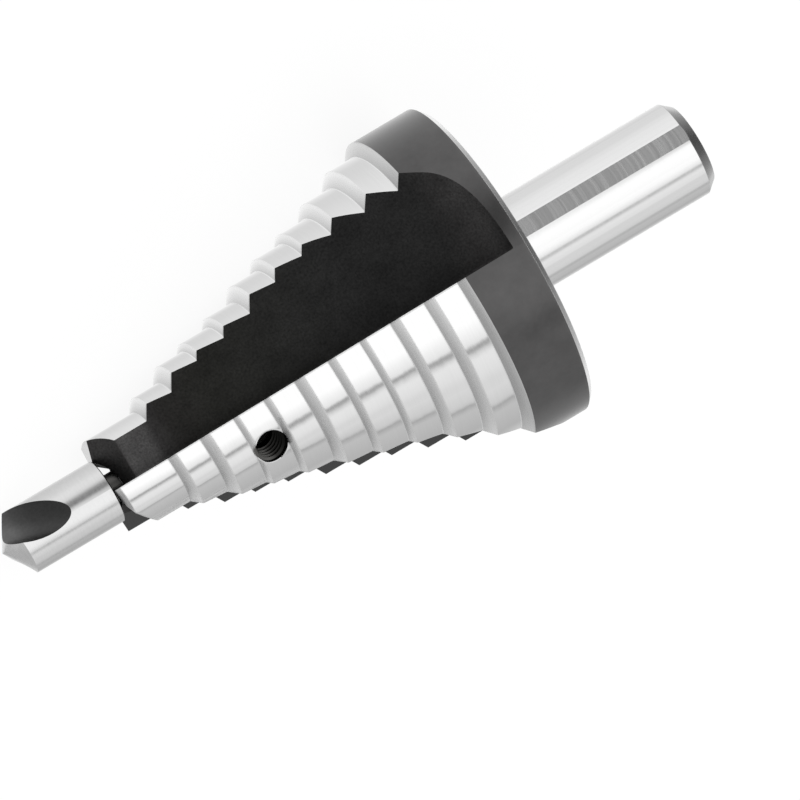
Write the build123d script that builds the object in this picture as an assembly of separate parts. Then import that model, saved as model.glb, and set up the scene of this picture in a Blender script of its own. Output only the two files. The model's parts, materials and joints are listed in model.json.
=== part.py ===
from build123d import *
import math
import os

# A step drill for sheet metal: a three-fluted stepped cone on a plain shank, with a
# replaceable pilot drill held in its nose by a small set screw.
#
# Everything is drawn with the drill's axis along X, the front of the nose at X = 0 and the
# shank towards +X. The last section lays the finished drill down as it rests on a bench.
# Angles round the axis are counted from +Y towards +Z, and the first flute's cutting edge is
# at 90 degrees. All lengths are millimetres and all angles degrees.

# Stepped cone
step_diameters = [12.7, 15.6, 19.0, 20.8, 22.9, 26.3, 28.8, 30.9, 34.1, 37.6]
land_ends = [6.9, 11.03, 15.3, 19.28, 23.3, 27.6, 31.72, 35.7, 40.02, 44.3]
shoulder_half_angle = 59.0
nose_face_diameter = 8.6
nose_face_half_angle = 82.6
nose_face_relief = 9.5

# Collar and shank
collar_diameter = 40.5
collar_length = 8.7
collar_chamfer = 0.62
shank_diameter = 12.0
shank_length = 26.42
shank_chamfer_length = 1.25
shank_chamfer_height = 1.05
grip_flat_count = 3
grip_flat_width = 2.2
grip_flat_angle = 75.0

# Flutes and relief
flute_count = 3
edge_angle = 90.0
rake_start = -0.44
rake_taper = 0.53
nose_floor_height = 4.18
gash_angle = 55.0
gash_length = 3.07
floor_start = 7.5
floor_angle = 8.5
runout_start = 30.2
runout_radius = 26.1
ramp_angle = 28.5
ramp_length = 10.7
exit_radius = 7.3
exit_end_angle = 80.0
flute_corner_radius = 0.25
cutter_overrun = 3.0
overlap = 1.0
lobe_angle = 64.0
relief_offset = 0.12
relief_lead = 30.0
shoulder_relief = 0.6
sector_lead = 8.0

# Bore for the pilot drill, and the tapped hole that crosses it
pilot_shank_diameter = 4.0
bore_clearance = 0.05
bore_depth = 23.0
bore_mouth_diameter = 7.7
bore_mouth_half_angle = 45.0
screw_position = 17.73
screw_angle = 121.0
screw_hole_diameter = 4.0

# Pilot drill
pilot_diameter = 8.0
pilot_head_length = 12.2
pilot_shank_length = 22.0
pilot_point_half_angle = 59.0
flank_offset = 0.5
neck_diameter = 3.6
neck_length = 2.2
pilot_end_chamfer = 0.4
pilot_rear_chamfer = 0.12
screw_flat_depth = 0.4
screw_flat_length = 7.0
gouge_count = 2
gouge_radius = 3.0
gouge_slant_across = -0.426
gouge_slant_out = 0.655
gouge_centre_across = 3.07
gouge_centre_out = 3.085

# Set screw
screw_clearance = 0.05
screw_length = 4.0
screw_end_chamfer = 0.35
socket_across_flats = 2.0
socket_depth = 2.0

# Resting place: a first guess of the way down, which is then made exact
bench_tilt = 0.25
bench_angle = -54.0
bench_rounds = 8
edge_samples = 60

# Places that follow from the sizes above
step_radii = [diameter / 2 for diameter in step_diameters]
collar_radius = collar_diameter / 2
shank_radius = shank_diameter / 2
shoulder_run = 1 / math.tan(math.radians(shoulder_half_angle))
collar_front = land_ends[-1] + (collar_radius - step_radii[-1]) * shoulder_run
collar_rear = collar_front + collar_length
shank_end = collar_rear + shank_length
bore_radius = pilot_shank_diameter / 2 + bore_clearance
pilot_radius = pilot_diameter / 2
screw_seat = pilot_shank_diameter / 2 - screw_flat_depth
screw_head = screw_seat + screw_length
outside = collar_radius * 3


def slope(angle):
    """Run along the axis for each unit of radius on a cone of this half angle."""
    return 1 / math.tan(math.radians(angle))


def around(radius, angle):
    """The point on a circle about the drill's axis, as its Y and Z."""
    return radius * math.cos(math.radians(angle)), radius * math.sin(math.radians(angle))


def turned(points):
    """A solid of revolution about the drill's axis from its half section."""
    half_section = Plane.XZ * make_face(Polyline(points, close=True))
    return revolve(half_section, Axis.X)


def radial_cylinder(radius, bottom, top, position, angle):
    """A cylinder that stands out from the drill's axis at one angle round it."""
    standing = Pos(0, 0, (bottom + top) / 2) * Cylinder(radius, top - bottom)
    return Pos(position, 0, 0) * Rot(angle - 90, 0, 0) * standing


# Stepped cone

def stepped_lobe():
    """The lobe behind the first cutting edge. Its lands are turned about a shifted axis and its
    shoulders are tilted, so that both fall away behind the edge."""
    drop = relief_offset * math.cos(math.radians(relief_lead))
    shift = Pos(0, *around(relief_offset, edge_angle - relief_lead))
    middle = collar_front + collar_length / 2
    face = nose_face_diameter / 2
    radii = [radius - drop for radius in step_radii]
    first = radii[0]
    rim = ((first - face) * slope(nose_face_half_angle), first)
    lobe = shift * turned([(0, 0), (0, face), rim, (middle, first), (middle, 0)])
    for land_end, inner, outer in zip(land_ends, radii, radii[1:]):
        lobe += shift * tilted_step(land_end, inner, outer, middle)
    lobe += tilted_step(land_ends[-1], step_radii[-1], collar_radius, middle)
    return lobe & sector(edge_angle - sector_lead, 360 / flute_count)


def tilted_step(land_end, inner, outer, rear):
    """A plain disc whose front is the shoulder that starts where the smaller land ends. The
    shoulder is a cone, tilted so that it lies further back at the lobe's heel."""
    apex = land_end - inner * shoulder_run
    back = rear + outside
    disc = turned([(apex, 0), (apex, outer), (rear, outer), (rear, 0)])
    cone = turned([(apex, 0), (apex + outside * shoulder_run, outside), (back, outside), (back, 0)])
    heel = outer * math.sin(math.radians(lobe_angle))
    tilt = math.degrees(math.atan(shoulder_relief / heel))
    hinge = Pos(land_end, 0, 0)
    return disc & (hinge * Rot(0, 0, tilt) * hinge.inverse() * cone)


def sector(start_angle, width):
    """A wedge of the space round the axis."""
    reach = outside * 2
    first = around(reach, start_angle)
    middle = around(reach, start_angle + width / 2)
    last = around(reach, start_angle + width)
    outline = Polyline([(0, 0), first, middle, last], close=True)
    wedge = extrude(Plane.YZ.offset(-outside) * make_face(outline), outside * 3)
    return wedge


def collar_and_shank():
    """The rear half of the collar, and the shank behind it."""
    middle = collar_front + collar_length / 2
    points = [
        (middle, 0),
        (middle, collar_radius),
        (collar_rear - collar_chamfer, collar_radius),
        (collar_rear, collar_radius - collar_chamfer),
        (collar_rear, shank_radius),
        (shank_end - shank_chamfer_length, shank_radius),
        (shank_end, shank_radius - shank_chamfer_height),
        (shank_end, 0),
    ]
    return turned(points)


def flute_cutter():
    """The space swept by the grinding wheel: one flat side leaves the rake face, and the rim
    leaves the gash at the nose, the sloping floor and the run-out through the collar."""
    steep = math.radians(gash_angle)
    shallow = math.radians(floor_angle)
    leaving = math.radians(ramp_angle)
    last = math.radians(exit_end_angle)
    gash_fall = (gash_length + cutter_overrun) * math.tan(steep)
    gash_front = (-cutter_overrun, nose_floor_height - gash_fall)
    gash_end = (gash_length, nose_floor_height)
    nose_floor_end = (floor_start, nose_floor_height)
    rise = (runout_start - floor_start) * math.tan(shallow)
    floor_end = (runout_start, nose_floor_height + rise)

    def along(start, radius, first_angle, end_angle):
        run = radius * (math.sin(end_angle) - math.sin(first_angle))
        climb = radius * (math.cos(first_angle) - math.cos(end_angle))
        return (start[0] + run, start[1] + climb)

    ramp_start = along(floor_end, runout_radius, shallow, leaving)
    ramp_middle = along(floor_end, runout_radius, shallow, (shallow + leaving) / 2)
    exit_start = (
        ramp_start[0] + ramp_length * math.cos(leaving),
        ramp_start[1] + ramp_length * math.sin(leaving),
    )
    exit_end = along(exit_start, exit_radius, leaving, last)
    exit_mid = along(exit_start, exit_radius, leaving, (leaving + last) / 2)
    top = outside
    rear = (exit_end[0] + (top - exit_end[1]) * math.tan(math.pi / 2 - last), top)

    floor = [
        Line(gash_front, gash_end),
        Line(gash_end, nose_floor_end),
        Line(nose_floor_end, floor_end),
        ThreePointArc(floor_end, ramp_middle, ramp_start),
        Line(ramp_start, exit_start),
        ThreePointArc(exit_start, exit_mid, exit_end),
        Line(exit_end, rear),
    ]
    lid = [Line(rear, (-cutter_overrun, top)), Line((-cutter_overrun, top), gash_front)]
    taper = math.radians(rake_taper)
    side = Plane(
        origin=(0, rake_start, 0),
        x_dir=(math.cos(taper), math.sin(taper), 0),
        z_dir=(math.sin(taper), -math.cos(taper), 0),
    )
    cutter = extrude(side * make_face(floor + lid), -outside)
    corner = [edge for edge in cutter.edges() if on_rake_face(edge, side, top)]
    cutter = fillet(corner, flute_corner_radius)
    return Rot(edge_angle - 90, 0, 0) * cutter


def on_rake_face(edge, side, top):
    """Whether an edge of the cutter runs between its flat side and the floor."""
    ends = [side.to_local_coords(point) for point in (edge @ 0, edge @ 1)]
    flat = all(abs(end.Z) < 0.001 for end in ends)
    low = all(end.Y < top - 0.001 for end in ends)
    return flat and low


def nose_face_cutter():
    """The space in front of one prong's end face, which slopes back behind its cutting edge."""
    outward = math.tan(math.radians(90 - nose_face_half_angle))
    backward = math.tan(math.radians(nose_face_relief))
    face = Plane(
        origin=(0, 0, nose_face_diameter / 2),
        x_dir=(0, 1, 0),
        z_dir=(-1, -backward, outward),
    )
    block = face * Pos(0, 0, outside / 2) * Box(outside, outside, outside)
    return Rot(edge_angle - 90, 0, 0) * block & sector(edge_angle - sector_lead, 360 / flute_count)


def make_body():
    """The one-piece body: lobes, collar and shank, then everything ground or drilled."""
    body = collar_and_shank()
    lobe = stepped_lobe()
    for index in range(flute_count):
        body += Rot(360 / flute_count * index, 0, 0) * lobe
    cutters = [flute_cutter(), nose_face_cutter()]
    for index in range(flute_count):
        for cutter in cutters:
            body -= Rot(360 / flute_count * index, 0, 0) * cutter

    mouth = bore_mouth_diameter / 2
    mouth_depth = (mouth - bore_radius) * slope(bore_mouth_half_angle)
    end = bore_depth + bore_radius * slope(pilot_point_half_angle)
    body -= turned(
        [
            (-overlap, 0),
            (-overlap, mouth),
            (0, mouth),
            (mouth_depth, bore_radius),
            (bore_depth, bore_radius),
            (end, 0),
        ]
    )
    body -= radial_cylinder(screw_hole_diameter / 2, 0, outside, screw_position, screw_angle)

    depth = shank_radius - math.sqrt(shank_radius**2 - (grip_flat_width / 2) ** 2)
    slab = Pos(collar_rear + shank_length, 0, shank_radius - depth + outside / 2) * Box(
        shank_length * 2, outside, outside
    )
    for index in range(grip_flat_count):
        angle = grip_flat_angle + 360 / grip_flat_count * index
        body -= Rot(angle - 90, 0, 0) * slab
    return body


# Pilot drill

def make_pilot():
    """A two-lipped pilot drill with a relieved point, scooped gouges and a plain shank."""
    reach = pilot_radius * 3
    head = turned(
        [
            (-pilot_head_length * 2, 0),
            (-pilot_head_length * 2, pilot_radius),
            (-pilot_rear_chamfer, pilot_radius),
            (0, pilot_radius - pilot_rear_chamfer),
            (0, 0),
        ]
    )

    at_lip = math.hypot(flank_offset, pilot_radius) * slope(pilot_point_half_angle)
    apex = -pilot_head_length - at_lip
    rim = apex + reach * slope(pilot_point_half_angle)
    cone = turned([(apex, 0), (rim, reach), (reach, reach), (reach, 0)])
    half = Pos(0, -reach, 0) * Box(reach * 6, reach * 2, reach * 4)
    flank = (Pos(0, flank_offset, 0) * cone) & half
    pointed = head & (flank + Rot(180, 0, 0) * flank)

    direction = (1, gouge_slant_across, gouge_slant_out)
    centre = (-pilot_head_length, gouge_centre_across, gouge_centre_out)
    scoop = Plane(origin=centre, z_dir=direction) * Cylinder(gouge_radius, reach * 4)
    for index in range(gouge_count):
        pointed -= Rot(360 / gouge_count * index, 0, 0) * scoop

    radius = pilot_shank_diameter / 2
    neck = neck_diameter / 2
    shank = turned(
        [
            (-overlap, 0),
            (-overlap, neck),
            (neck_length, neck),
            (neck_length, radius),
            (pilot_shank_length - pilot_end_chamfer, radius),
            (pilot_shank_length, radius - pilot_end_chamfer),
            (pilot_shank_length, 0),
        ]
    )
    flat = Pos(screw_position, 0, screw_seat + radius) * Box(screw_flat_length, radius * 4, radius * 2)
    shank -= Rot(screw_angle - 90, 0, 0) * flat
    return pointed + shank


# Set screw

def make_screw():
    """A headless screw with a hexagon socket, seated on the flat of the pilot's shank."""
    radius = screw_hole_diameter / 2 - screw_clearance
    middle = (screw_seat + screw_head) / 2
    screw = Pos(0, 0, middle) * Cylinder(radius, screw_length)
    screw = chamfer(screw.edges(), screw_end_chamfer)
    hexagon = RegularPolygon(socket_across_flats / 2, 6, major_radius=False)
    screw -= extrude(Plane.XY.offset(screw_head - socket_depth) * hexagon, socket_depth * 2)
    return Pos(screw_position, 0, 0) * Rot(screw_angle - 90, 0, 0) * screw


# Resting place: the drill lies with a flute downwards, on the corner of the pilot's head and
# on the rim that this flute leaves at either side of it in the collar.

def edge_points(solids, count):
    """Points along every edge of the drill, where its contacts with a flat bench must lie."""
    places = [index / count for index in range(count + 1)]
    edges = [edge for solid in solids for edge in solid.edges()]
    return [point for edge in edges for point in edge.positions(places)]


def upward_at_rest(points):
    """The direction that points up once the pilot's head and both sides of the collar touch."""
    up = Vector(bench_tilt, *around(1, bench_angle + 180))
    axis = Vector(1, 0, 0)
    front = [point for point in points if point.X < 0]
    for _ in range(bench_rounds):
        side = up.cross(axis)
        left = [point for point in points if point.X > collar_front / 2 and point.dot(side) > 0]
        right = [point for point in points if point.X > collar_front / 2 and point.dot(side) < 0]
        tip, one, other = [min(group, key=lambda point: point.dot(up)) for group in (front, left, right)]
        normal = (one - tip).cross(other - tip).normalized()
        up = normal if normal.dot(up) > 0 else -normal
    return up


pieces = {
    "drill_body": make_body(),
    "pilot_drill": make_pilot(),
    "set_screw": make_screw(),
}
up = upward_at_rest(edge_points(pieces.values(), edge_samples))
forward = Vector(1, 0, 0) - up * up.X
bench = Plane(origin=(0, 0, 0), x_dir=forward, z_dir=up)
laid = {name: bench.location.inverse() * piece for name, piece in pieces.items()}
box = Compound(children=list(laid.values())).bounding_box()
to_origin = Pos(-box.center().X, -box.center().Y, -box.min.Z)

os.makedirs("parts", exist_ok=True)
for name, piece in laid.items():
    solid = (to_origin * piece).solid()
    export_step(solid, f"parts/{name}.step")
    print(name, "volume", round(solid.volume), "valid", solid.is_valid)
print("size", box.size)
to_row = to_origin * bench.location.inverse()
for label, place in [("nose", 0), ("collar rear", collar_rear), ("shank end", shank_end)]:
    print(label, (to_row * Pos(place, 0, 0)).position)
print("up in the drill's own frame", up)
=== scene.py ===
# %% [markdown]
# A step drill, dressed for a studio picture
# This lesson takes a finished engineering model of a step drill and gives it the surfaces of the
# real tool: bright ground steel on the steps, black oxide in the flutes, a satin collar.
# The shapes come from the model and are not touched. What is added here is the finish of each
# face, the screw thread in the side hole, a camera and a plain studio.

# %% Load the model
import json
import math

import bpy
import numpy as np
from mathutils import Matrix, Vector

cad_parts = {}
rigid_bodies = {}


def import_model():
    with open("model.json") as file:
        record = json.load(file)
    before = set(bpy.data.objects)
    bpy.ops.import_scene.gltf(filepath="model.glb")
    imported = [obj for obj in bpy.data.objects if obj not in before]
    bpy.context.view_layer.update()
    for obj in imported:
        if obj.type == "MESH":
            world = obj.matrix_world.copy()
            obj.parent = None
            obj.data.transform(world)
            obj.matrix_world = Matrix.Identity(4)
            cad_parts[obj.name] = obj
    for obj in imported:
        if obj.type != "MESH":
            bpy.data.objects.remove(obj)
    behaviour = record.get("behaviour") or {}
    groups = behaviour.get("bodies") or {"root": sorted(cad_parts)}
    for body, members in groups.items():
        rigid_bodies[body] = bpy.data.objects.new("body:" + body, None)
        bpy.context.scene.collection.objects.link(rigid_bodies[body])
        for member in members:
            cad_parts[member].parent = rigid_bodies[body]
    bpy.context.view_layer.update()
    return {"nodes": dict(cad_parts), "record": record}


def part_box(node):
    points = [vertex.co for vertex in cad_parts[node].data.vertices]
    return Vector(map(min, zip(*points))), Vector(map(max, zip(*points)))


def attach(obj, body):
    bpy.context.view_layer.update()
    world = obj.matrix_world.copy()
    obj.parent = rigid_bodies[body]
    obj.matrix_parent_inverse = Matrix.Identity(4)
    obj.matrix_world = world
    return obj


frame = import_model()
MM = 0.001
print("pieces of the model:", sorted(frame["nodes"]))

# %% [markdown]
# The drill's own axes
# The drill lies tilted on the bench, yet every mark on it runs along or around its axis. So the
# first step is a frame of its own: X along the axis from the front of the nose, Z through the
# cutting edge of the first flute. The shank's mount gives the axis, and the side screw, which
# stands at a known angle round it, gives the roll. Nothing has to be typed in twice.

# %% Find the drill's axes from the model
SHANK_MIDDLE_BEHIND_NOSE = 66.458 * MM
SCREW_BEHIND_NOSE = 17.73 * MM
SCREW_ANGLE = math.radians(121)

shank = next(m for m in frame["record"]["mounts"] if m["name"] == "shank")
along = Vector(shank["axis"]).normalized()
nose = Vector(shank["pos_m"]) - along * SHANK_MIDDLE_BEHIND_NOSE
low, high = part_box("set_screw")
screw_way = (low + high) / 2 - nose - along * SCREW_BEHIND_NOSE
screw_way = (screw_way - along * screw_way.dot(along)).normalized()
across = Matrix.Rotation(-SCREW_ANGLE, 3, along) @ screw_way
outward = along.cross(across)
drill_axes = Matrix((along, across, outward)).transposed()
drill_frame = Matrix.Translation(nose) @ drill_axes.to_4x4()
print("axis", along[:], "nose at", [round(x / MM, 2) for x in nose])


def place(s, u, v):
    """A point given in millimetres in the drill's own axes, as a place in the scene."""
    return drill_frame @ Vector((s * MM, u * MM, v * MM))


# %% [markdown]
# Which face is which
# A turned and ground tool wears a different finish on each kind of face, and each kind can be
# told by where it lies and which way it looks. A step's land looks straight out from the axis,
# a shoulder looks forward, a flute's wall looks anywhere else. Painting by hand would also do,
# but a rule gives clean borders that follow the model's own edges.

# %% Measure every face of a piece
TINY = 1e-6


def face_facts(piece):
    """For each face: place along the axis, radius, and its normal's shares towards the shank,
    outwards, and in the drill's Y and Z."""
    mesh = piece.data
    to_axes = np.array(drill_axes)
    centres = np.zeros(len(mesh.polygons) * 3)
    normals = np.zeros(len(mesh.polygons) * 3)
    mesh.polygons.foreach_get("center", centres)
    mesh.polygons.foreach_get("normal", normals)
    centres = (centres.reshape(-1, 3) - np.array(nose)) @ to_axes / MM
    normals = normals.reshape(-1, 3) @ to_axes
    radius = np.hypot(centres[:, 1], centres[:, 2])
    outwards = normals[:, 1] * centres[:, 1] + normals[:, 2] * centres[:, 2]
    out = outwards / np.maximum(radius, TINY)
    return centres[:, 0], radius, normals[:, 0], out, normals[:, 1], normals[:, 2]


s, radius, backward, out, normal_u, normal_v = face_facts(frame["nodes"]["drill_body"])
print("faces on the body:", len(s), "from", round(s.min(), 1), "to", round(s.max(), 1), "mm")

# %% [markdown]
# The steps and the collar
# The rules need the drill's main sizes, in millimetres from the front of the nose or from the
# axis. The other numbers are shares of a face's normal, where 1 looks straight that way. They
# leave a little room, because the model's round faces are made of many flat ones.

# %% Find the lands, the shoulders and the collar
COLLAR_FRONT = 45.17
COLLAR_REAR = 53.87
COLLAR_RADIUS = 20.25
SHANK_RADIUS = 6.0
SHANK_END = 80.29
ROOM = 0.1
STRAIGHT_OUT = 0.95
LEVEL = 0.1
SHOULDERS_FROM = 5.0
SHOULDER_BACKWARD = -0.8
SHOULDER_OUT = 0.42
LAST_SHOULDER_REACH = 0.7
COLLAR_SKIN = 1.0
COLLAR_OUT = 0.5
RIM_BACKWARD = 0.4
SQUARE_BACK = 0.99

outer = radius > SHANK_RADIUS
land = (s < COLLAR_FRONT) & outer & (out > STRAIGHT_OUT) & (np.abs(backward) < LEVEL)
shoulder = (s > SHOULDERS_FROM) & (s < COLLAR_FRONT + LAST_SHOULDER_REACH) & outer
shoulder = shoulder & (backward < SHOULDER_BACKWARD) & (out > SHOULDER_OUT)
collar = (s > COLLAR_FRONT - ROOM) & (s < COLLAR_REAR + ROOM) & ~shoulder
collar = collar & (radius > COLLAR_RADIUS - COLLAR_SKIN) & (out > COLLAR_OUT)
collar = collar & ((out > STRAIGHT_OUT) | (backward > RIM_BACKWARD))
collar_rim = collar & (backward > RIM_BACKWARD)
collar_back = (np.abs(s - COLLAR_REAR) < ROOM) & (backward > SQUARE_BACK)
print("lands", land.sum(), "shoulders", shoulder.sum(), "collar", collar.sum(), "rim", collar_rim.sum())

# %% [markdown]
# The shank, the nose and the rake faces
# The same kind of rule finds the rest. The rake faces are the flat walls behind the cutting
# edges. There are three, a third of a turn apart, so one test of the wall's direction finds all.

# %% Find the shank, the nose faces, the bore and the rake faces
SHANK_OUT = 0.9
FLAT_DEPTH = 0.06
CHAMFER_REACH = 1.3
TIP_BACKWARD = 0.3
NOSE_REACH = 2.5
NOSE_BACKWARD = -0.9
NOSE_FACE_FROM = 3.0
BORE_REACH = 4.0
BORE_OUT = -0.2
FLUTE_APART = 120
RAKE_ROOM = 2
RAKE_LEVEL = 0.05
RAKE_OUT = 0.5
CORE_RADIUS = 4.3

shank_faces = (s > COLLAR_REAR + ROOM) & (out > SHANK_OUT)
grip_flat = shank_faces & (radius < SHANK_RADIUS - FLAT_DEPTH) & (s < SHANK_END - CHAMFER_REACH)
shank_tip = (s > SHANK_END - CHAMFER_REACH) & (backward > TIP_BACKWARD)
nose_face = (s < NOSE_REACH) & (backward < NOSE_BACKWARD) & (radius > NOSE_FACE_FROM)
bore = (radius < BORE_REACH) & (out < BORE_OUT)
wall_way = np.degrees(np.arctan2(normal_v, normal_u))
off_rake = np.abs((wall_way + FLUTE_APART / 2) % FLUTE_APART - FLUTE_APART / 2)
rake = (off_rake < RAKE_ROOM) & (np.abs(backward) < RAKE_LEVEL) & (out < RAKE_OUT)
rake = rake & (s < COLLAR_REAR) & (radius > CORE_RADIUS)
print("rake", rake.sum(), "flats", grip_flat.sum(), "nose", nose_face.sum(), "bore", bore.sum())

# %% [markdown]
# Colours as they are written
# Colours are easiest to pick as the hex codes of a paint program, but the shader reckons in
# linear light. One function turns the one into the other, so the render shows the code.

# %% Turn a hex colour into linear light
def linear(code):
    """The linear red, green, blue and alpha of an sRGB hex code such as #8a8a8a."""
    parts = [int(code[i:i + 2], 16) / 255 for i in (1, 3, 5)]
    return [c / 12.92 if c <= 0.04045 else ((c + 0.055) / 1.055) ** 2.4 for c in parts] + [1.0]


print("mid grey #808080 is", round(linear("#808080")[0], 3), "in linear light")

# %% [markdown]
# One helper for every node
# A material is a small tree of nodes. Each node needs three things: its kind, its settings and
# the wires that come in. One function that takes all three keeps every tree short to read.

# %% Add a node with its settings and links
def add(tree, kind, settings=None, links=None):
    """Adds a node, sets its options or sockets by name or number, and wires sockets into it."""
    node = tree.nodes.new(kind)
    for name, value in (settings or {}).items():
        if isinstance(name, str) and hasattr(node, name):
            setattr(node, name, value)
        else:
            node.inputs[name].default_value = value
    for name, source in (links or {}).items():
        tree.links.new(source, node.inputs[name])
    return node


def new_material(name):
    """An empty material, ready for a surface."""
    material = bpy.data.materials.new(name)
    material.use_nodes = True
    material.node_tree.nodes.clear()
    return material


print("helpers ready")

# %% [markdown]
# Millimetres on the drill
# The patterns on a machined part are measured along and around its axis. A Mapping node can
# turn the scene's coordinates into the drill's own millimetres in one go: scale by a thousand,
# rotate, then shift. The angle round the axis comes from two sides of a triangle, and its
# cosine and sine are used instead of the angle itself, because they have no seam.

# %% Give a material the drill's own coordinates
to_drill = drill_axes.transposed()
shift = -(to_drill @ nose) / MM
ACROSS_ONLY = (0, 1, 1)


def drill_coordinates(tree):
    """The place in the drill's millimetres, its part along the axis, and the direction round it."""
    spot = add(tree, "ShaderNodeTexCoord")
    mapped = add(
        tree,
        "ShaderNodeMapping",
        {"Scale": (1 / MM,) * 3, "Rotation": to_drill.to_euler(), "Location": shift},
        {"Vector": spot.outputs["Object"]},
    )
    split = add(tree, "ShaderNodeSeparateXYZ", links={0: mapped.outputs[0]})
    flat = add(
        tree, "ShaderNodeVectorMath", {"operation": "MULTIPLY", 1: ACROSS_ONLY}, {0: mapped.outputs[0]}
    )
    around = add(tree, "ShaderNodeVectorMath", {"operation": "NORMALIZE"}, {0: flat.outputs[0]})
    return mapped.outputs[0], split.outputs[0], around.outputs[0]


def distance_out(tree):
    """The distance from the drill's axis in millimetres."""
    spot = drill_coordinates(tree)[0]
    flat = add(tree, "ShaderNodeVectorMath", {"operation": "MULTIPLY", 1: ACROSS_ONLY}, {0: spot})
    length = add(tree, "ShaderNodeVectorMath", {"operation": "LENGTH"}, {0: flat.outputs[0]})
    return length.outputs["Value"]


print("the nose front maps to", [round(x, 3) for x in (to_drill @ nose) / MM + shift])

# %% [markdown]
# Ground marks
# A grinding wheel leaves fine lines that run the way the wheel or the work turned. Stretched
# noise draws them: the pattern changes fast across the lines and slowly along them. Real marks
# are about 0.03 mm apart, which is a quarter of a pixel here, so the finest are drawn 0.12 mm
# apart and kept faint. The distance out counts too, so an end face gets rings.

# %% Lines that run around the axis
GROUND_SPACING = 0.12
STEP_LENGTH = 4.15
STRETCH_ROUND = 60.0


def turned_lines(tree, spacing, length=9.0):
    """Noise in rings round the axis, each about one spacing wide and a length long, in mm."""
    _, s_mm, around = drill_coordinates(tree)
    wrapped = add(
        tree, "ShaderNodeVectorMath", {"operation": "SCALE", "Scale": STRETCH_ROUND / length}, {0: around}
    )
    profile = add(tree, "ShaderNodeMath", {"operation": "ADD"}, {0: s_mm, 1: distance_out(tree)})
    fast = add(tree, "ShaderNodeMath", {"operation": "MULTIPLY", 1: 1 / spacing}, {0: profile.outputs[0]})
    rings = add(tree, "ShaderNodeCombineXYZ", links={"X": fast.outputs[0]})
    both = add(
        tree, "ShaderNodeVectorMath", {"operation": "ADD"}, {0: rings.outputs[0], 1: wrapped.outputs[0]}
    )
    noise = add(
        tree,
        "ShaderNodeTexNoise",
        {"Scale": 0.5, "Detail": 3.0, "Roughness": 0.6},
        {"Vector": both.outputs[0]},
    )
    return noise.outputs["Fac"]


print("the finest lines number", round(STEP_LENGTH / GROUND_SPACING), "to a step")

# %% [markdown]
# Lands that fall away, and a tent that stands close
# Behind its cutting edge each land falls away a little, so that it doesn't rub. Its reflections
# sit 2.4 degrees ahead of those on the truly round shank. And as a real light tent stands near
# the drill, the seam of its lower sheet wanders: each step towards the nose shows it higher up.
# The sky of a scene is endlessly far away and can't do that, but a small turn of the shading
# normal can. A little noise in the turn is the waviness of grinding, which makes streaks ragged.

# %% Turn the reflections a little from step to step
RELIEF_TURN = 2.4
SEAM_PLACE = 42.4
SEAM_REACH = 26.0
SEAM_DRIFT = 0.46
STREAK_DRIFT = 0.05
LOWER_FROM = -0.5
LOWER_TO = -0.65
WAVINESS = 0.8
WAVE_SPACING = 0.5
WAVE_LENGTH = 4.0


def lean(tree, normal):
    """The normal turned about the drill's axis, more on the lower side and towards the nose."""
    _, s_mm, around = drill_coordinates(tree)
    side = add(tree, "ShaderNodeSeparateXYZ", links={0: around})
    lower = add(
        tree,
        "ShaderNodeMapRange",
        {"From Min": LOWER_FROM, "From Max": LOWER_TO, "To Min": STREAK_DRIFT, "To Max": SEAM_DRIFT},
        {"Value": side.outputs["Y"]},
    )
    ahead = add(
        tree,
        "ShaderNodeMapRange",
        {"From Min": SEAM_PLACE - SEAM_REACH, "From Max": SEAM_PLACE, "To Min": SEAM_REACH, "To Max": 0},
        {"Value": s_mm},
    )
    ragged = add(
        tree,
        "ShaderNodeMath",
        {"operation": "MULTIPLY_ADD", 1: 2 * WAVINESS, 2: RELIEF_TURN - WAVINESS},
        {0: turned_lines(tree, WAVE_SPACING, WAVE_LENGTH)},
    )
    degrees = add(
        tree,
        "ShaderNodeMath",
        {"operation": "MULTIPLY_ADD"},
        {0: ahead.outputs[0], 1: lower.outputs[0], 2: ragged.outputs[0]},
    )
    angle = add(tree, "ShaderNodeMath", {"operation": "RADIANS"}, {0: degrees.outputs[0]})
    turned = add(
        tree, "ShaderNodeVectorRotate", {"Axis": along}, {"Vector": normal, "Angle": angle.outputs[0]}
    )
    return turned.outputs[0]


print("the seam drifts up to", round(SEAM_DRIFT * SEAM_REACH, 1), "degrees")

# %% [markdown]
# One recipe for all the metals
# Every finish on this drill is steel, bright or blackened, and they differ only in colour, marks
# and polish. A single recipe keeps them alike where they should be. The marks do three jobs at
# once, as on real metal: they tint it, roughen it and dent it. The metal keeps the usual index
# of refraction. Sharp corners are rounded in the shading alone, which leaves the model as it is.

# %% Put a metal together from its colours, marks and bumps
MARKS_LOW = 0.3
MARKS_HIGH = 0.7
OIL_ROUGHNESS = 0.25
MIX_BELOW, MIX_ABOVE, MIX_COLOUR = 6, 7, 2


def blend(tree, amount, below, above):
    """Mixes two colours, where each is a hex code or the output of a node."""
    settings = {"data_type": "RGBA"}
    links = {0: amount}
    for socket, colour in ((MIX_BELOW, below), (MIX_ABOVE, above)):
        if isinstance(colour, str):
            settings[socket] = linear(colour)
        else:
            links[socket] = colour
    return add(tree, "ShaderNodeMix", settings, links).outputs[MIX_COLOUR]


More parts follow.
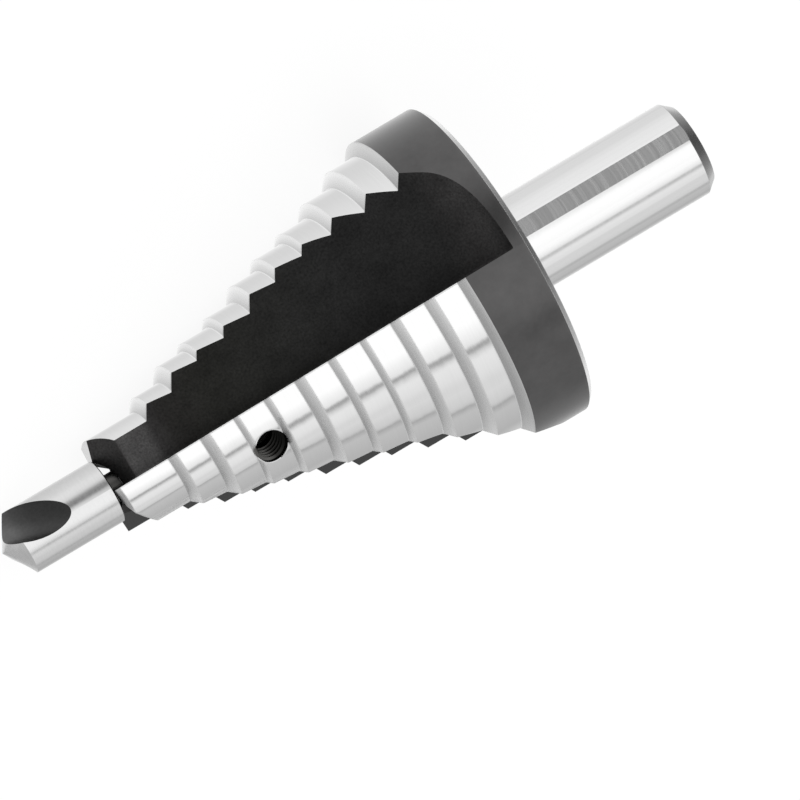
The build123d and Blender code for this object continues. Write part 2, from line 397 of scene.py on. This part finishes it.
def metal(material, colours, marks, depth, roughness, spread, oil=0.0, edge=0.0, relief=False):
    """A metal whose marks vary its colour, its roughness and, by depth in mm, its height. The
    colours are a dark and a light hex code, or one node's output. Oil is the share of the
    surface under a thin film, edge the radius in mm to which its corners are worn, and relief
    says that it falls away behind the cutting edge."""
    tree = material.node_tree
    if isinstance(colours, tuple):
        colours = blend(tree, marks, *colours)
    smooth, coarse = roughness - spread, roughness + spread
    rough = add(
        tree,
        "ShaderNodeMapRange",
        {"From Min": MARKS_LOW, "From Max": MARKS_HIGH, "To Min": smooth, "To Max": coarse},
        {"Value": marks},
    )
    bump = add(
        tree, "ShaderNodeBump", {"Strength": 1.0, "Distance": depth * MM}, {"Height": marks}
    )
    if edge:
        worn = add(tree, "ShaderNodeBevel", {"samples": 6, "Radius": edge * MM}).outputs[0]
        tree.links.new(lean(tree, worn) if relief else worn, bump.inputs["Normal"])
    shader = add(
        tree,
        "ShaderNodeBsdfPrincipled",
        {"Metallic": 1.0, "Coat Weight": oil, "Coat Roughness": OIL_ROUGHNESS},
        {"Base Color": colours, "Roughness": rough.outputs[0], "Normal": bump.outputs[0]},
    )
    add(tree, "ShaderNodeOutputMaterial", links={"Surface": shader.outputs[0]})
    print(material.name, "roughness", roughness)


# %% [markdown]
# Colours that change from place to place
# Few finishes are one colour all over. A colour ramp gives the colour at each place along the
# axis, or at each distance from it, and takes its stops in millimetres.

# %% Ramps by place
RAMP_START = -13.0
RAMP_REACH = COLLAR_RADIUS + 1


def ramp_of(tree, value, start, end, stops_at):
    """Colours by a value between start and end, from a list of such values and hex codes."""
    share = add(tree, "ShaderNodeMapRange", {"From Min": start, "From Max": end}, {"Value": value})
    ramp = add(tree, "ShaderNodeValToRGB", links={"Fac": share.outputs[0]})
    stops = ramp.color_ramp.elements
    stops.remove(stops[1])
    for index, (at, code) in enumerate(stops_at):
        position = (at - start) / (end - start)
        stop = stops[0] if index == 0 else stops.new(position)
        stop.position = position
        stop.color = linear(code)
    return ramp.outputs["Color"]


def ramp_along(tree, stops_at):
    """Colours by the place along the axis."""
    return ramp_of(tree, drill_coordinates(tree)[1], RAMP_START, SHANK_END, stops_at)


def ramp_outwards(tree, stops_at):
    """Colours by the distance from the axis."""
    return ramp_of(tree, distance_out(tree), 0, RAMP_REACH, stops_at)


print("ramps reach", round(SHANK_END - RAMP_START, 1), "mm along and", RAMP_REACH, "mm out")

# %% [markdown]
# Speckle and mottle
# A skin such as oxide has no direction: it is mottled evenly, in grains of some size. The marks
# then make a colour darker and lighter. A photo of real oxide would also do, but noise has no
# edges where it repeats, and its grain can be given in millimetres.

# %% Mottle a surface and speckle a colour
def mottle(tree, grain):
    """Even noise of one grain size in mm, for a skin that has no direction."""
    noise = add(
        tree,
        "ShaderNodeTexNoise",
        {"Scale": 1 / grain, "Detail": 4.0, "Roughness": 0.65},
        {"Vector": drill_coordinates(tree)[0]},
    )
    return noise.outputs["Fac"]


def speckled(tree, colour, marks, darker, lighter):
    """A colour times a factor that follows the marks, from the darker to the lighter factor."""
    factor = add(
        tree,
        "ShaderNodeMapRange",
        {"From Min": MARKS_LOW, "From Max": MARKS_HIGH, "To Min": darker, "To Max": lighter},
        {"Value": marks},
    )
    scaled = add(
        tree, "ShaderNodeVectorMath", {"operation": "SCALE"}, {0: colour, "Scale": factor.outputs[0]}
    )
    return scaled.outputs[0]


print("marks between", MARKS_LOW, "and", MARKS_HIGH, "are used in full")

# %% [markdown]
# The steps' lands
# The lands are high-speed steel, ground to size on a cylindrical grinder. That gives the eye a
# bright metal that mirrors softly, with long streaks where a softbox or a dark card shows.

# %% Bright ground steel
land_steel = new_material("ground_high_speed_steel")
marks = turned_lines(land_steel.node_tree, GROUND_SPACING)
metal(
    land_steel, ("#ececec", "#f4f4f4"), marks, depth=0.0003, roughness=0.08, spread=0.02,
    edge=0.3, relief=True,
)

# %% [markdown]
# The shoulders
# The cone between two lands is formed by the wheel's edge. It is a little rougher and duller
# than the lands. Each ring is painted darker at its inner corner as painted shade, and brighter
# at its outer edge as a painted highlight. The last ring, before the collar, is painted darker.

# %% Duller form-ground steel
STEP_RADII = [6.35, 7.8, 9.5, 10.4, 11.45, 13.15, 14.4, 15.45, 17.05, 18.8, 20.25]
RING_INSET = 0.01

# Each ring is painted shade inside and a painted highlight outside.
rings = []
for inner_radius, outer_radius in zip(STEP_RADII, STEP_RADII[1:]):
    last = outer_radius == STEP_RADII[-1]
    corner_shade, edge_highlight = ("#c5c5c5", "#dedede") if last else ("#d2d2d2", "#ffffff")
    rings += [(inner_radius + RING_INSET, corner_shade), (outer_radius - RING_INSET, edge_highlight)]
shoulder_steel = new_material("form_ground_steel")
tree = shoulder_steel.node_tree
marks = turned_lines(tree, spacing=0.2)
corner_shaded_rings = speckled(tree, ramp_outwards(tree, rings), marks, darker=0.96, lighter=1.04)
metal(
    shoulder_steel, corner_shaded_rings, marks, depth=0.0012, roughness=0.28, spread=0.05, edge=0.5, relief=True
)

# %% [markdown]
# The shank
# The shank is turned round and polished along its length. That gives the eye a clear mirror
# round the shank, crossed by soft bands that run along it. Noise that changes only with the
# direction round the axis draws such bands, each a little over a millimetre wide.

# %% Polished shank steel
BAND_WIDTH = 1.3


def long_bands(tree):
    """Noise that changes only round the axis, so it draws bands along the shank."""
    around = drill_coordinates(tree)[2]
    noise = add(
        tree, "ShaderNodeTexNoise", {"Scale": SHANK_RADIUS / BAND_WIDTH, "Detail": 3.0}, {"Vector": around}
    )
    return noise.outputs["Fac"]


shank_steel = new_material("polished_shank_steel")
tree = shank_steel.node_tree
banded = blend(tree, long_bands(tree), "#dcdcdc", "#ffffff")
metal(
    shank_steel, banded, turned_lines(tree, GROUND_SPACING), depth=0.0005, roughness=0.17, spread=0.03
)

# %% [markdown]
# The shank's end
# The end disc and its chamfer were faced on a lathe. The tool leaves rings, and use rubs the
# corner smooth. It gives the eye a duller grey with a soft bright corner.

# %% Faced shank end
end_steel = new_material("turned_shank_end")
marks = turned_lines(end_steel.node_tree, spacing=0.3)
metal(end_steel, ("#b8b8b8", "#c8c8c8"), marks, depth=0.001, roughness=0.25, spread=0.05, edge=0.35)

# %% [markdown]
# The grip flats
# The three narrow flats, on which the chuck's jaws bear, are ground straight across. Their
# coarse lines catch the light one by one, which sets them off from the polished round. The
# real lines are too fine for the render, so they are drawn 0.2 mm apart.

# %% Cross-ground flats
FLAT_SPACING = 0.2
FLAT_LENGTH = 120

flat_steel = new_material("cross_ground_flat")
marks = turned_lines(flat_steel.node_tree, FLAT_SPACING, FLAT_LENGTH)
metal(flat_steel, ("#cccccc", "#f2f2f2"), marks, depth=0.003, roughness=0.24, spread=0.05)

# %% [markdown]
# Black oxide in the flutes
# The flutes were blackened before the lands were ground, so only they and the collar are dark.
# Black oxide is a thin skin of magnetite that follows the metal, so it is built as a metal with
# a very dark colour: it keeps the sheen and the bright grazing edge of steel. The colour is painted
# lighter at the nose and at the exit, where the flute's floor turns and catches more light, and
# deep black between: painted light over the oxide's own grain.

# %% Blackened flutes
FLUTE_GRAIN = 0.28
FLUTE_CLOUD = 4.0

flute_oxide = new_material("black_oxide_flute")
tree = flute_oxide.node_tree
marks = mottle(tree, FLUTE_GRAIN)
# The ramp paints the flute lighter at the nose and at the exit and darkest between: painted light.
painted_flute_light = ramp_along(
    tree,
    [
        (0, "#444343"), (3, "#444343"), (3.2, "#585757"), (6.2, "#565555"), (7.5, "#3a3939"),
        (9.5, "#302f2e"), (15, "#2e2e2c"), (35, "#303030"), (46, "#323232"), (49, "#3d3c3c"),
        (51, "#4b4a4a"),
    ],
)
cloudy = speckled(tree, painted_flute_light, mottle(tree, FLUTE_CLOUD), darker=0.82, lighter=1.2)
grainy = speckled(tree, cloudy, marks, darker=0.62, lighter=1.42)
metal(flute_oxide, grainy, marks, depth=0.003, roughness=0.55, spread=0.05)

# %% [markdown]
# The rake faces
# The wall behind each cutting edge is touched up on a grinder after blackening, which thins the
# oxide. It gives the eye an even dark grey, a little lighter than the flute.

# %% Reground rake faces
rake_steel = new_material("reground_rake_face")
marks = mottle(rake_steel.node_tree, grain=0.4)
metal(rake_steel, ("#4b4b4b", "#535353"), marks, depth=0.002, roughness=0.45, spread=0.05)

# %% [markdown]
# The collar
# The collar keeps its oxide over a finely turned surface, under a film of oil. That gives the
# eye a satin dark grey, slightly cloudy, with a soft sheen. The film is a thin coat on the
# shader. The colour changes where the collar meets its rim.

# %% Satin oxide on the collar
COLLAR_CLOUD = 5.0

collar_oxide = new_material("satin_oxide_collar")
tree = collar_oxide.node_tree
marks = mottle(tree, COLLAR_CLOUD)
along_collar = ramp_along(
    tree, [(44, "#494848"), (52.6, "#4a4949"), (52.85, "#434242"), (53.1, "#555454")]
)
clouded = speckled(tree, along_collar, marks, darker=0.78, lighter=1.25)
metal(collar_oxide, clouded, marks, depth=0.003, roughness=0.36, spread=0.04, oil=1.0)

# %% [markdown]
# The collar's rim
# The chamfer at the collar's rear edge knocks against the bench and other drills, so its oxide
# is rubbed off. It gives the eye a thin bright line round the dark collar.

# %% Worn rim
rim_steel = new_material("worn_collar_rim")
marks = turned_lines(rim_steel.node_tree, spacing=0.2)
metal(rim_steel, ("#ececec", "#f4f4f4"), marks, depth=0.001, roughness=0.25, spread=0.05, edge=0.3)

# %% [markdown]
# The nose faces
# The three small faces at the front are ground by a cup wheel that sweeps over them, so their
# marks have no clear direction. They give the eye a plain light grey.

# %% Ground nose faces
nose_steel = new_material("nose_ground_steel")
marks = mottle(nose_steel.node_tree, grain=0.3)
metal(nose_steel, ("#d0d0d0", "#dadada"), marks, depth=0.002, roughness=0.3, spread=0.05)

# %% [markdown]
# Giving each face its finish
# A mesh can hold several materials, and each face keeps the number of its own. The sorting from
# before turns straight into those numbers, and the model's shape stays as it is.

# %% Dress the body
def dress(piece, finishes, rest):
    """Gives the faces in each mask its finish, later masks over earlier ones."""
    mesh = piece.data
    mesh.materials.clear()
    mesh.materials.append(rest)
    number = np.zeros(len(mesh.polygons), dtype=np.int32)
    for index, (mask, material) in enumerate(finishes, start=1):
        mesh.materials.append(material)
        number[mask] = index
    mesh.polygons.foreach_set("material_index", number)
    mesh.update()
    print(piece.name, "faces per finish:", np.bincount(number).tolist())


dress(
    frame["nodes"]["drill_body"],
    [
        (land, land_steel),
        (shoulder, shoulder_steel),
        (collar, collar_oxide),
        (collar_back, collar_oxide),
        (collar_rim, rim_steel),
        (shank_faces, shank_steel),
        (grip_flat, flat_steel),
        (shank_tip, end_steel),
        (nose_face, nose_steel),
        (bore, flute_oxide),
        (rake, rake_steel),
    ],
    flute_oxide,
)

# %% [markdown]
# The pilot's gouges
# The pilot's two gouges are scooped out by a round wheel and left as the wheel leaves them. They
# give the eye a dark, faintly oily hollow, painted darker further back and lighter towards the
# tip as painted shade.

# %% Dark gouge steel
gouge_steel = new_material("pilot_gouge_steel")
tree = gouge_steel.node_tree
marks = mottle(tree, grain=0.4)
# The ramp paints the gouge lighter at the tip and darker further back: painted shade.
gouge_painted_shade = ramp_along(
    tree, [(-12.2, "#6a6a6a"), (-11, "#545454"), (-9.5, "#454545"), (-7, "#3e3e3e")]
)
shaded_hollow = speckled(tree, gouge_painted_shade, marks, darker=0.85, lighter=1.15)
metal(gouge_steel, shaded_hollow, marks, depth=0.002, roughness=0.42, spread=0.05, oil=0.3)

# %% [markdown]
# The pilot's neck
# Behind its head the pilot is turned thinner. It sits in the shadow of the bore, so it is painted
# dark as painted shade, with one bright ring painted where the shank begins as a painted highlight.
# It gives the eye a dark gap with a light line in it.

# %% Neck painted dark, with a painted highlight ring
neck_shaded_steel = new_material("neck_painted_shade_and_highlight")
tree = neck_shaded_steel.node_tree
# The ramp paints the neck dark as painted shade, with a bright ring as a painted highlight.
neck_painted_light = ramp_along(
    tree,
    [
        (0, "#3a3938"), (0.5, "#62615f"), (1.5, "#525150"), (1.8, "#2c2c2b"), (1.9, "#f0f0ef"),
        (2.2, "#f0f0ef"), (2.3, "#2c2c2b"),
    ],
)
marks = turned_lines(tree, spacing=0.5)
metal(neck_shaded_steel, neck_painted_light, marks, depth=0.004, roughness=0.4, spread=0.05)

# %% [markdown]
# The pilot's point and round
# The flanks of the point are ground with a coarser wheel than the round behind them. Both are
# bright, and the round is the smoother: it gives the eye one clean streak along the pilot.

# %% Bright pilot steel
flank_steel = new_material("pilot_ground_flank")
marks = turned_lines(flank_steel.node_tree, spacing=0.2)
metal(flank_steel, ("#d6d6d6", "#ececec"), marks, depth=0.002, roughness=0.25, spread=0.05)
pilot_steel = new_material("pilot_ground_steel")
marks = turned_lines(pilot_steel.node_tree, GROUND_SPACING)
metal(pilot_steel, ("#dadada", "#e5e5e5"), marks, depth=0.0002, roughness=0.2, spread=0.03)

# %% [markdown]
# Dressing the small pieces
# The pilot's faces are sorted by the same kind of rule as the body's. The set screw is blackened
# all over, like the flutes, and sits deep in its hole.

# %% Dress the pilot drill and the set screw
HEAD_END = 0.01
HEAD_SKIN = 3.9
POINT_FROM = -11
FLANK_BACKWARD = -0.6

pilot_s, pilot_radius, pilot_backward, pilot_out, _, _ = face_facts(frame["nodes"]["pilot_drill"])
pilot_round = (pilot_s < HEAD_END) & (pilot_radius > HEAD_SKIN) & (pilot_out > STRAIGHT_OUT)
pilot_flank = (pilot_s < POINT_FROM) & (pilot_backward < FLANK_BACKWARD)
pilot_neck = pilot_s > -HEAD_END
dress(
    frame["nodes"]["pilot_drill"],
    [(pilot_round, pilot_steel), (pilot_flank, flank_steel), (pilot_neck, neck_shaded_steel)],
    gouge_steel,
)
dress(frame["nodes"]["set_screw"], [], flute_oxide)

# %% [markdown]
# The thread in the side hole
# The hole for the set screw is tapped M4: a ridge with a pitch of 0.7 mm winds down its wall. A
# texture could only fake it, and the ridge catches the light in the hole, so it is real mesh: a
# small four-cornered section is carried along a helix, and it fades into the wall at both ends.

# %% Shape the ridge of the thread
HOLE_RADIUS = 2.0
PITCH = 0.7
CREST_RADIUS = 1.68
ROOT_DEPTH = 0.04
ROOT_HALF = 0.2
CREST_HALF = 0.04
FADE_SHARE = 0.12
THREAD_FROM = 5.7
THREAD_TO = 10.05
STEPS_A_TURN = 48

turns = (THREAD_TO - THREAD_FROM) / PITCH
steps = int(turns * STEPS_A_TURN)


def ridge_section(share):
    """The section's corners as radius and offset along the hole, thinner near both ends."""
    fade = min(1.0, share / FADE_SHARE, (1 - share) / FADE_SHARE)
    base = HOLE_RADIUS + ROOT_DEPTH
    crest = base - (base - CREST_RADIUS) * fade
    return [(base, -ROOT_HALF), (crest, -CREST_HALF), (crest, CREST_HALF), (base, ROOT_HALF)]


def on_the_helix(share, ring, offset):
    """The place of one corner of the section, at a share of the way up the helix."""
    phi = 2 * math.pi * turns * share
    sideways = ring * math.sin(phi)
    height = THREAD_FROM + (THREAD_TO - THREAD_FROM) * share + offset
    u = height * math.cos(SCREW_ANGLE) - sideways * math.sin(SCREW_ANGLE)
    v = height * math.sin(SCREW_ANGLE) + sideways * math.cos(SCREW_ANGLE)
    return place(SCREW_BEHIND_NOSE / MM + ring * math.cos(phi), u, v)


points, faces = [], []
for index in range(steps + 1):
    points += [on_the_helix(index / steps, *corner) for corner in ridge_section(index / steps)]
    if index:
        before, here = (index - 1) * 4, index * 4
        following = [(k, (k + 1) % 4) for k in range(4)]
        faces += [(before + k, here + k, here + n, before + n) for k, n in following]
faces += [(3, 2, 1, 0), tuple(steps * 4 + k for k in range(4))]
print("thread of", round(turns, 1), "turns,", len(faces), "faces")

# %% [markdown]
# The tapped steel
# The tap leaves bare steel on the ridge. The camera looks into the hole at a slant, so the ridge
# gives the eye a few bright arcs on one side of the hole, and the other side stays in shadow.
# The colour therefore runs from light to dark across the hole.

# %% Place the thread and give it its steel
mesh = bpy.data.meshes.new("screw_hole_thread")
mesh.from_pydata(points, [], faces)
mesh.update()
thread = bpy.data.objects.new("screw_hole_thread", mesh)
bpy.context.scene.collection.objects.link(thread)
thread_steel = new_material("tapped_steel")
tree = thread_steel.node_tree
across_the_hole = ramp_along(
    tree, [(15.6, "#767573"), (16.7, "#6a6967"), (17.9, "#302f2e"), (19.2, "#1a1a19")]
)
marks = mottle(tree, grain=0.2)
metal(thread_steel, across_the_hole, marks, depth=0.002, roughness=0.3, spread=0.05)
mesh.materials.append(thread_steel)
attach(thread, "root")

# %% [markdown]
# The camera
# The picture was taken with a long lens, from 11 degrees off square to the axis. The camera is
# placed in the drill's own axes, so it keeps its view of the drill however the drill lies.

# %% Place the camera
SWING = math.radians(10.6)
ROLL = math.radians(30.77)
DISTANCE = 1950.0
PIXELS_PER_MM = 8.62
IMAGE_WIDTH = 800
SENSOR_WIDTH = 36.0
LOOK_AT = Vector((35.07, -8.27, 0.0))

back = Vector((-math.sin(SWING), 0, math.cos(SWING)))
right = Vector((math.cos(SWING), 0, math.sin(SWING)))
upright = Vector((0, 1, 0))
view_right = right * math.cos(ROLL) - upright * math.sin(ROLL)
view_up = right * math.sin(ROLL) + upright * math.cos(ROLL)
lens = bpy.data.cameras.new("studio_camera")
lens.sensor_width = SENSOR_WIDTH
lens.lens = PIXELS_PER_MM * DISTANCE * SENSOR_WIDTH / IMAGE_WIDTH
camera = bpy.data.objects.new("studio_camera", lens)
bpy.context.scene.collection.objects.link(camera)
view_axes = drill_axes @ Matrix((view_right, view_up, back)).transposed()
stand = Matrix.Translation(place(*(LOOK_AT + back * DISTANCE)))
camera.matrix_world = stand @ view_axes.to_4x4()
bpy.context.scene.camera = camera
print("lens", round(lens.lens, 1), "mm, camera at", [round(x, 3) for x in camera.location])

# %% [markdown]
# The studio
# Bright metal has no colour of its own: it shows the room. So the room is drawn with care. A
# white tent stands all round, with one grey card and a thin gap in it, and the steel turns them
# into its long streaks. The tent is a world shader that looks only at the direction, measured
# round the drill's axis. Lamps could light the drill too, but each would need its own shape.

# %% Measure directions in the tent
world = bpy.data.worlds.new("studio_tent")
world.use_nodes = True
world.node_tree.nodes.clear()
bpy.context.scene.world = world
tree = world.node_tree
spot = add(tree, "ShaderNodeTexCoord")
facing = add(
    tree, "ShaderNodeMapping", {"Rotation": to_drill.to_euler()}, {"Vector": spot.outputs["Generated"]}
)
split = add(tree, "ShaderNodeSeparateXYZ", links={0: facing.outputs[0]})
rearward = split.outputs["X"]
frontward = add(tree, "ShaderNodeMath", {"operation": "MULTIPLY", 1: -1}, {0: rearward}).outputs[0]
turn_angle = add(
    tree, "ShaderNodeMath", {"operation": "ARCTAN2"}, {0: split.outputs["Z"], 1: split.outputs["Y"]}
)
turn_degrees = add(tree, "ShaderNodeMath", {"operation": "DEGREES"}, {0: turn_angle.outputs[0]})
print("directions are measured round", [round(x, 2) for x in along])

# %% [markdown]
# The sheets of the tent
# Each list goes once round the axis, in degrees, and gives the brightness of the sheet there.
# The dark place near 72 is the grey card, the one near 143 the gap, and the one near -162 the
# seam of the lower sheet. Shoulders look forward, so they show a ring of their own.

# %% Hang the sheets
ROUND_THE_AXIS = [
    (-180, "#cfcfcf"), (-167, "#c4c4c4"), (-164, "#bcbcbc"), (-161.7, "#9c9c9c"), (-159.7, "#a8a8a8"),
    (-155, "#b6b6b6"), (-142, "#b0b0b0"), (-128, "#a9a9a9"), (-112, "#bdbdbd"), (-98, "#e0e0e0"),
    (-88, "#ededed"), (-78, "#e7e7e7"), (-66, "#dadada"), (-50, "#cbcbcb"), (-36, "#cccccc"),
    (4, "#dadada"), (18, "#e5e5e5"), (34, "#e5e5e5"), (46, "#dadada"), (57, "#909090"),
    (72, "#737373"), (82, "#cfcfcf"), (90, "#f6f6f6"), (124, "#f6f6f6"), (132, "#e8e8e8"),
    (139.3, "#dcdcdc"), (142.1, "#9c9c9c"), (143.8, "#969696"), (147.1, "#c8c8c8"), (151, "#dddddd"),
    (164, "#d6d6d6"), (172, "#cdcdcd"),
]
FRONT_RING = [
    (-180, "#b8b8b8"), (-125, "#a8a8a8"), (-104, "#b4b4b4"), (-84, "#dcdcdc"), (-50, "#d9d9d9"),
    (-10, "#d0d0d0"), (90, "#b4b4b4"),
]
HALF_TURN = 180

sides = ramp_of(tree, turn_degrees.outputs[0], -HALF_TURN, HALF_TURN, ROUND_THE_AXIS)
front_ring = ramp_of(tree, turn_degrees.outputs[0], -HALF_TURN, HALF_TURN, FRONT_RING)
print("tent with", len(ROUND_THE_AXIS), "stops round the axis")

# %% [markdown]
# The ends of the tent
# Where the tent closes at its two ends the cloth is further from the lamps, so it is greyer.
# Each layer below fades in smoothly between two shares of the direction along the axis, where
# 1 looks straight along it.

# %% Close the front and the rear
def lay_over(tree, below, above, value, start, end):
    """Lays one colour over another in the tent, as a value rises smoothly from start to end."""
    settings = {"interpolation_type": "SMOOTHSTEP", "From Min": start, "From Max": end}
    amount = add(tree, "ShaderNodeMapRange", settings, {"Value": value})
    return blend(tree, amount.outputs["Result"], below, above)


FRONT_RING_FADE = (0.3, 0.5)
FRONT_CAP_FADE = (0.62, 0.8)
FRONT_MIDDLE_FADE = (0.88, 0.97)
REAR_CAP_FADE = (0.4, 0.55)
REAR_RINGS = [("#b8b8b8", 0.5, 0.7), ("#8c8c8c", 0.68, 0.9), ("#4c4c4c", 0.88, 1.0)]

front_cap = lay_over(tree, "#adadad", "#c8c8c8", frontward, *FRONT_MIDDLE_FADE)
rear_cap = "#f0f0f0"
for code, start, end in REAR_RINGS:
    rear_cap = lay_over(tree, rear_cap, code, rearward, start, end)
tent = lay_over(tree, sides, front_ring, frontward, *FRONT_RING_FADE)
tent = lay_over(tree, tent, front_cap, frontward, *FRONT_CAP_FADE)
tent = lay_over(tree, tent, rear_cap, rearward, *REAR_CAP_FADE)
print("rear end closed with", len(REAR_RINGS), "rings")

# %% [markdown]
# White for the camera, even light for the rest
# The tent's greys should show only in the steel. A light path tells a mirrored ray from the
# others: a mirrored ray sees the tent, and the camera and all soft light see plain white. The
# tent is a little brighter than white, as a lit sheet is.

# %% Show the camera plain white and light everything else evenly
TENT_POWER = 1.25

path = add(tree, "ShaderNodeLightPath")
seen = add(
    tree,
    "ShaderNodeMath",
    {"operation": "ADD", "use_clamp": True},
    {0: path.outputs["Is Camera Ray"], 1: path.outputs["Is Transmission Ray"]},
)
mirrored = blend(tree, path.outputs["Is Glossy Ray"], "#ffffff", tent)
picture = blend(tree, seen.outputs[0], mirrored, "#ffffff")
power = add(
    tree,
    "ShaderNodeMapRange",
    {"To Min": 1.0, "To Max": TENT_POWER},
    {"Value": path.outputs["Is Glossy Ray"]},
)
light = add(tree, "ShaderNodeBackground", links={"Color": picture, "Strength": power.outputs[0]})
add(tree, "ShaderNodeOutputWorld", links={"Surface": light.outputs[0]})
world.cycles.sampling_method = "NONE"
print("tent power", TENT_POWER)

# %% [markdown]
# The paper floor
# A product picture stands on a sheet of white paper that runs out of sight. Plain white paper
# would take a strong grey shadow, so the sheet glows most of the way to white for the camera,
# and only a matt grey share takes the shadow. Soft light doesn't see the glow, so the drill
# isn't lit from below, and mirrored rays pass the sheet and see the tent.

# %% Lay the floor
FLOOR_HALF = 2.0
PAPER_GLOW = 0.9

corners = [(x * FLOOR_HALF, y * FLOOR_HALF, 0) for x, y in ((-1, -1), (1, -1), (1, 1), (-1, 1))]
sheet = bpy.data.meshes.new("paper_floor")
sheet.from_pydata(corners, [], [(0, 1, 2, 3)])
floor = bpy.data.objects.new("paper_floor", sheet)
bpy.context.scene.collection.objects.link(floor)
paper = new_material("white_paper")
tree = paper.node_tree
path = add(tree, "ShaderNodeLightPath")
direct = add(
    tree,
    "ShaderNodeMath",
    {"operation": "ADD"},
    {0: path.outputs["Is Camera Ray"], 1: path.outputs["Is Glossy Ray"]},
)
seen = add(
    tree,
    "ShaderNodeMath",
    {"operation": "ADD", "use_clamp": True},
    {0: direct.outputs[0], 1: path.outputs["Is Transmission Ray"]},
)
lift = add(tree, "ShaderNodeMath", {"operation": "MULTIPLY", 1: PAPER_GLOW}, {0: seen.outputs[0]})
glow = add(tree, "ShaderNodeEmission", {"Color": linear("#ffffff")}, {"Strength": lift.outputs[0]})
matt = add(tree, "ShaderNodeBsdfDiffuse", {"Color": linear("#616161")})
both = add(tree, "ShaderNodeAddShader", links={0: glow.outputs[0], 1: matt.outputs[0]})
add(tree, "ShaderNodeOutputMaterial", links={"Surface": both.outputs[0]})
sheet.materials.append(paper)
floor.visible_glossy = False
print("floor", 2 * FLOOR_HALF, "m wide")

# %% [markdown]
# Measuring what was made
# The view
# beside that of the bare model: the two should agree, since nothing was added outside it.

# %% Set the view
bpy.context.scene.view_settings.view_transform = "Standard"
bpy.context.view_layer.update()
